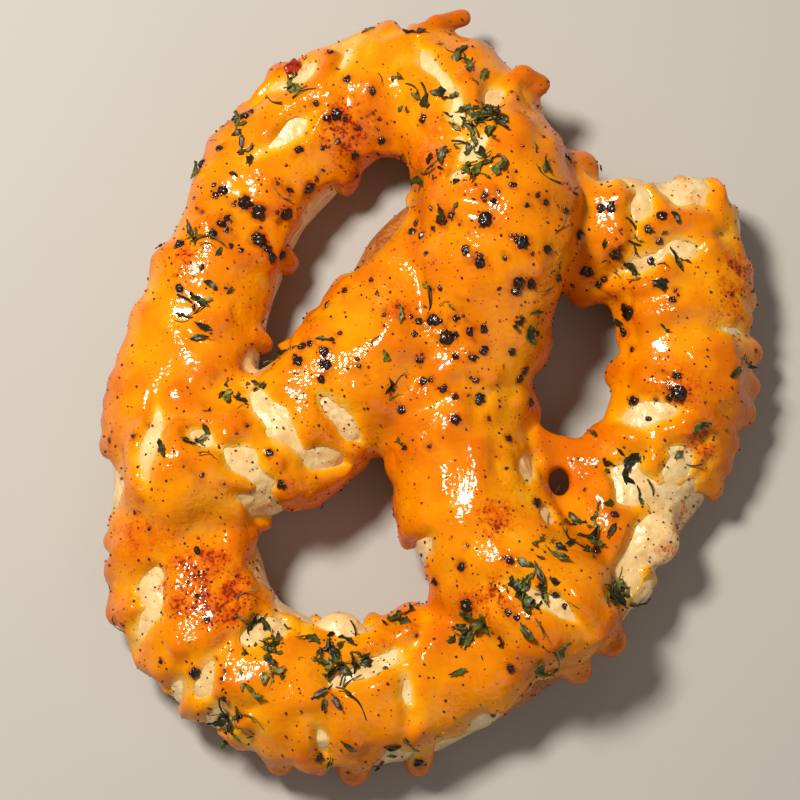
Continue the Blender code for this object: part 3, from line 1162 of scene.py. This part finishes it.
# %% [markdown]
# The heat that burnt a bubble also browned the cheese round it. Each vertex of the cheese
# looks for blisters nearby. The bigger the blister, the wider and darker its ring.

# %% Brown the cheese round the blisters
def ring_of_heat(points, rows):
    heat = np.zeros(len(points), np.float32)
    for place, _, radius in rows:
        far = np.linalg.norm(points - np.array(place), axis=1) / MM
        ring = 1 - rise(far, radius * 0.9, radius * 1.35 + 0.8)
        heat = np.maximum(heat, ring * min(0.9, 0.4 + 0.4 * radius))
    return heat


cheese_points = vertices_of(cheese)
store(cheese, "depth", read(under_field, cheese_points))
store(cheese, "scorch", ring_of_heat(cheese_points, landed))

# %% [markdown]
# ## Parsley
# Dried parsley is crumbled leaf: small, curled, ragged flakes and a few bits of stem. Seven
# kinds of flake and two of stem are modelled about one unit long, and Geometry Nodes strew
# them over the skin by the heaps, turned and tilted at random.

# %% Model the flakes and stems
FLAKE_STEPS = 6
FLAKE_THICKNESS = 0.035
FLAKE_SEEDS = (1, 2, 3, 4, 5, 6, 8)
STEM_STEPS = 7
STEM_SIDES = 6
STEM_LENGTH = 1.7
STEM_RADIUS = 0.07
STEM_SEEDS = (7, 9)


def mesh_from(shape, name):
    """Turns a bmesh into a mesh and frees it."""
    mesh = bpy.data.meshes.new(name)
    shape.to_mesh(mesh)
    shape.free()
    return mesh


def flake_mesh(seed):
    """A ragged, curled bit of leaf, one unit long, with a little thickness."""
    numbers = np.random.default_rng(seed)
    curl, fold = numbers.uniform(-0.7, 0.9), numbers.uniform(0.15, 0.8)
    wide, bow = numbers.uniform(0.08, 0.22), numbers.uniform(-0.4, 0.4)
    shape = bmesh.new()
    rows = []
    for i in range(FLAKE_STEPS + 1):
        t = i / FLAKE_STEPS
        half = wide * math.sin(math.pi * (0.06 + 0.86 * t)) * numbers.uniform(0.45, 1.6)
        row = []
        for side in (-1, -0.4, 0.4, 1):
            x = t - 0.5 + numbers.uniform(-0.06, 0.06)
            y = half * side + bow * (x * x - 0.1) + numbers.uniform(-0.05, 0.05)
            z = curl * x * x + fold * abs(half * side) + numbers.uniform(-0.045, 0.045)
            row.append(shape.verts.new((x, y, z)))
        rows.append(row)
    for low, high in zip(rows, rows[1:]):
        for k in range(3):
            shape.faces.new((low[k], low[k + 1], high[k + 1], high[k]))
    bmesh.ops.recalc_face_normals(shape, faces=shape.faces)
    bmesh.ops.solidify(shape, geom=list(shape.faces), thickness=FLAKE_THICKNESS)
    bmesh.ops.recalc_face_normals(shape, faces=shape.faces)
    mesh = mesh_from(shape, "flake")
    mesh.shade_smooth()
    return mesh


def stem_mesh(seed):
    """A thin bent stalk, longer than the flakes, that narrows to one end."""
    bend = np.random.default_rng(seed).uniform(0.1, 0.3)
    turns = [math.tau * k / STEM_SIDES for k in range(STEM_SIDES)]
    shape = bmesh.new()
    rings = []
    for i in range(STEM_STEPS + 1):
        t = i / STEM_STEPS
        x, y = STEM_LENGTH * (t - 0.5), bend * math.sin(math.pi * t)
        z = 0.05 * math.sin(7 * t)
        radius = STEM_RADIUS * (1 - 0.6 * t)
        ring = [(x, y + radius * math.cos(a), z + radius * math.sin(a)) for a in turns]
        rings.append([shape.verts.new(place) for place in ring])
    for low, high in zip(rings, rings[1:]):
        for k in range(STEM_SIDES):
            shape.faces.new((low[k], low[k - 1], high[k - 1], high[k]))
    shape.faces.new(rings[0])
    shape.faces.new(rings[-1][::-1])
    bmesh.ops.recalc_face_normals(shape, faces=shape.faces)
    mesh = mesh_from(shape, "stem")
    mesh.shade_smooth()
    return mesh


def kit(name, meshes):
    """A collection of shapes for a tree to pick from, which isn't itself in the scene."""
    box = bpy.data.collections.new(name)
    for k, mesh in enumerate(meshes):
        box.objects.link(bpy.data.objects.new(f"{name}_{k}", mesh))
    return box


flakes = [flake_mesh(seed) for seed in FLAKE_SEEDS]
stems = [stem_mesh(seed) for seed in STEM_SEEDS]
herb_kit = kit("herb_kit", flakes + stems)


# %% A tree that strews a kit over a surface
TONE_SEED = 77


def strew_tree(name, thickness, box, finish):
    tree, inlet = new_tree(name, (
        ("Per square metre", 20000.0),
        ("Smallest", 0.002),
        ("Largest", 0.006),
        ("Tilt", 0.4),
        ("Lift", 0.0002),
    ))
    seed, tilt = inlet["Seed"], inlet["Tilt"]
    points = add(tree, "GeometryNodeDistributePointsOnFaces", {
        "Mesh": inlet["Geometry"],
        "Density": times(tree, named(tree, thickness), inlet["Per square metre"]),
        "Seed": seed,
    })
    normal = points.node.outputs["Normal"]
    # Each shape stands on the skin, leans by the tilt, and is spun all the way round.
    lean = times(tree, tilt, -1.0)
    low = add(tree, "ShaderNodeCombineXYZ", {0: lean, 1: lean, 2: 0.0})
    high = add(tree, "ShaderNodeCombineXYZ", {0: tilt, 1: tilt, 2: math.tau})
    spin = add(tree, "FunctionNodeEulerToRotation", {0: random_vector(tree, low, high, seed)})
    sockets = {0: turned_to(tree, "Z", normal), 1: spin}
    turn = add(tree, "FunctionNodeRotateRotation", sockets, rotation_space="LOCAL")
    chance = {4: 0, 5: len(box.objects) - 1, "Seed": seed}
    strewn = add(tree, "GeometryNodeInstanceOnPoints", {
        "Points": moved(tree, points, scaled(tree, normal, inlet["Lift"])),
        "Instance": add(tree, "GeometryNodeCollectionInfo", {
            "Collection": box, "Separate Children": True,
        }),
        "Pick Instance": True,
        "Instance Index": add(tree, "FunctionNodeRandomValue", chance, data_type="INT", out=2),
        "Rotation": turn,
        "Scale": random_number(tree, inlet["Smallest"], inlet["Largest"], seed),
    })
    # A random tone for each shape lets its finish colour no two alike.
    tone = {"Geometry": strewn, "Name": "tone", "Value": random_number(tree, 0.0, 1.0, TONE_SEED)}
    toned = add(tree, "GeometryNodeStoreNamedAttribute", tone, domain="INSTANCE")
    return close_tree(tree, toned, finish)


def herb_finish():
    made, tree, shader = new_finish("dried_parsley")
    body = ramp(tree, number_on(tree, "tone"), (
        (0.0, paint(24, 24, 8)),
        (0.3, paint(48, 54, 12)),
        (0.55, paint(82, 90, 22)),
        (0.8, paint(112, 116, 34)),
        (1.0, paint(146, 140, 52)),
    ))
    blotch = spread(tree, noise(tree, 1.2, 3.0), 0.42, 0.62)
    body = blend(tree, times(tree, blotch, 0.88), body, paint(16, 16, 6))
    tree.links.new(body, shader.inputs["Base Color"])
    shader.inputs["Roughness"].default_value = 0.42
    fine = noise(tree, 0.4, 2.0)
    bumps(tree, shader, ((fine, 0.5, 0.1),))
    return made


# %% Strew the parsley
HERB_HEAPS = (
    (12, 57, 3.2, 3.2), (3, 45, 3.5, 1.4), (11, 47, 4, 1.5), (19, 48, 3, 1.2), (45, 28, 5, 1.5),
    (-52, 17, 4, 1.5), (-42, -4, 4, 1.4), (-48, -15, 3, 1.4), (-36, -56, 4, 2.8), (-33, -62, 3.5, 2.0),
    (-40, -65, 3, 1.4), (-42, -72, 4, 1.4), (-20, -60, 5, 1.4), (-16, -63, 4, 1.0), (-21, -69, 3, 1.0),
    (-7, -53, 3, 0.8), (20, -46, 3.5, 3.2), (7, -55, 3, 1.5), (23, -58, 3, 0.8), (40, -45, 3, 1.5),
    (34, -32, 3.5, 1.5), (27, -35, 4, 1.5), (46, -21, 2.5, 1.4), (41, -16, 2.5, 1.0), (-30, 66, 2.5, 1.4),
    (-42, 55, 4, 0.7), (-47, 31, 2.5, 1.2), (31, 7, 2.5, 0.7), (-31, 5, 3, 1.0), (-7, -2, 3, 1.0),
    (-13, 6, 3, 0.7), (0, 16, 3, 0.8), (19, 11, 3, 0.8), (-1, 77, 3.5, 1.0), (4, 72, 3, 1.0),
    (7, 36, 3, 0.7), (-4, 61, 3, 0.7), (8, 62, 5, 0.8), (-8, -78, 10, 0.15), (0, 0, 75, 0.03),
)
skin_points = vertices_of(skin)
# Next to nothing stays on the lowest flanks, so the heaps fade there.
high_up = rise(skin_points[:, 2], 10 * MM, 14 * MM)
store(skin, "herbs", heaped(skin_points, HERB_HEAPS) * high_up)
herb_tree = strew_tree("strew_herbs", "herbs", herb_kit, herb_finish())
herbs = grown_piece("parsley_flakes", skin, herb_tree, {
    "Per square metre": 150000.0,
    "Smallest": 0.0009,
    "Largest": 0.0052,
    "Tilt": 0.5,
    "Lift": 0.0003,
    "Seed": 15,
})

# %% [markdown]
# ## One bit of red pepper
# A single crushed scrap of red pepper lies by the long lobe's outer edge. It is a squashed
# ball with dents, set on the skin like the blisters.

# %% Lay the red pepper bit
PEPPER_XY = (-31.0, 72.5)
PEPPER_HALVES = (2.3, 1.5, 0.8)


def pepper_finish():
    made, tree, shader = new_finish("red_pepper")
    body = ramp(tree, noise(tree, 1.5, 3.0), (
        (0.35, paint(92, 10, 4)),
        (0.5, paint(168, 24, 8)),
        (0.7, paint(206, 52, 14)),
    ))
    tree.links.new(body, shader.inputs["Base Color"])
    shader.inputs["Roughness"].default_value = 0.3
    fine = noise(tree, 0.6, 2.0)
    bumps(tree, shader, ((fine, 0.6, 0.3),))
    return made


def pepper_shape(place, normal):
    """The ball's dents are waves across it, and it is squashed towards the skin."""
    shape = bmesh.new()
    bmesh.ops.create_icosphere(shape, subdivisions=3, radius=1.0)
    turn = normal.to_track_quat("Z", "X")
    for vert in shape.verts:
        x, y, _ = vert.co
        dent = 1 + 0.18 * math.sin(5 * x + 2) * math.cos(4 * y) + 0.1 * math.sin(9 * y)
        flat = Vector([c * half * dent * MM for c, half in zip(vert.co, PEPPER_HALVES)])
        vert.co = place + turn @ flat
    return mesh_from(shape, "red_pepper_bit")


pepper_place, pepper_normal = drop(*PEPPER_XY)
pepper = plain_object("red_pepper_bit", pepper_shape(pepper_place, pepper_normal))
pepper.data.shade_smooth()
pepper.data.materials.append(pepper_finish())
print("the pepper bit lies at height", round(pepper_place.z / MM, 1), "mm")

# %% [markdown]
# ## Grains of spice
# Ground paprika and pepper are angular grains, a quarter of a millimetre to nearly one
# across. They are true geometry too: twenty faces are enough for each. They lie everywhere,
# thicker in the heaps of paprika and round the blisters.

# %% Strew the grains
def grain_mesh(seed):
    """An angular grain, one unit across, with twenty faces."""
    numbers = np.random.default_rng(seed)
    shape = bmesh.new()
    bmesh.ops.create_icosphere(shape, subdivisions=1, radius=0.5)
    for vert in shape.verts:
        vert.co *= numbers.uniform(0.55, 1.1)
    return mesh_from(shape, "grain")


def grain_finish():
    made, tree, shader = new_finish("ground_spice")
    body = ramp(tree, number_on(tree, "tone"), (
        (0.0, paint(30, 12, 6)),
        (0.35, paint(74, 22, 8)),
        (0.7, paint(140, 44, 10)),
        (1.0, paint(190, 84, 20)),
    ))
    tree.links.new(body, shader.inputs["Base Color"])
    shader.inputs["Roughness"].default_value = 0.6
    fine = noise(tree, 0.2, 1.0)
    bumps(tree, shader, ((fine, 0.4, 0.05),))
    return made


GRAINS_EVERYWHERE = 0.36
grains_in_heaps = heaped(skin_points, PAPRIKA_HEAPS) + heaped(skin_points, BLISTER_HEAPS) * 0.4
store(skin, "grains", (grains_in_heaps + GRAINS_EVERYWHERE) * high_up)
grain_kit = kit("grain_kit", [grain_mesh(seed) for seed in (1, 2, 3)])
grain_tree = strew_tree("strew_grains", "grains", grain_kit, grain_finish())
grains = grown_piece("spice_grains", skin, grain_tree, {
    "Per square metre": 120000.0,
    "Smallest": 0.00025,
    "Largest": 0.0009,
    "Tilt": 3.0,
    "Lift": 0.00005,
    "Seed": 21,
})

# %% [markdown]
# ## Put it together
# Every piece rides on the one body of the frame. Dough and cheese stand for the frame's two
# nodes, which are hidden.

# %% Ride on the frame
bpy.data.objects.remove(carrier)
bpy.data.objects.remove(skin)
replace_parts(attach(dough, "root"), "dough")
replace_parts(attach(cheese, "root"), "melted_cheese")
for piece in (cream, blisters, herbs, pepper, grains):
    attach(piece, "root")
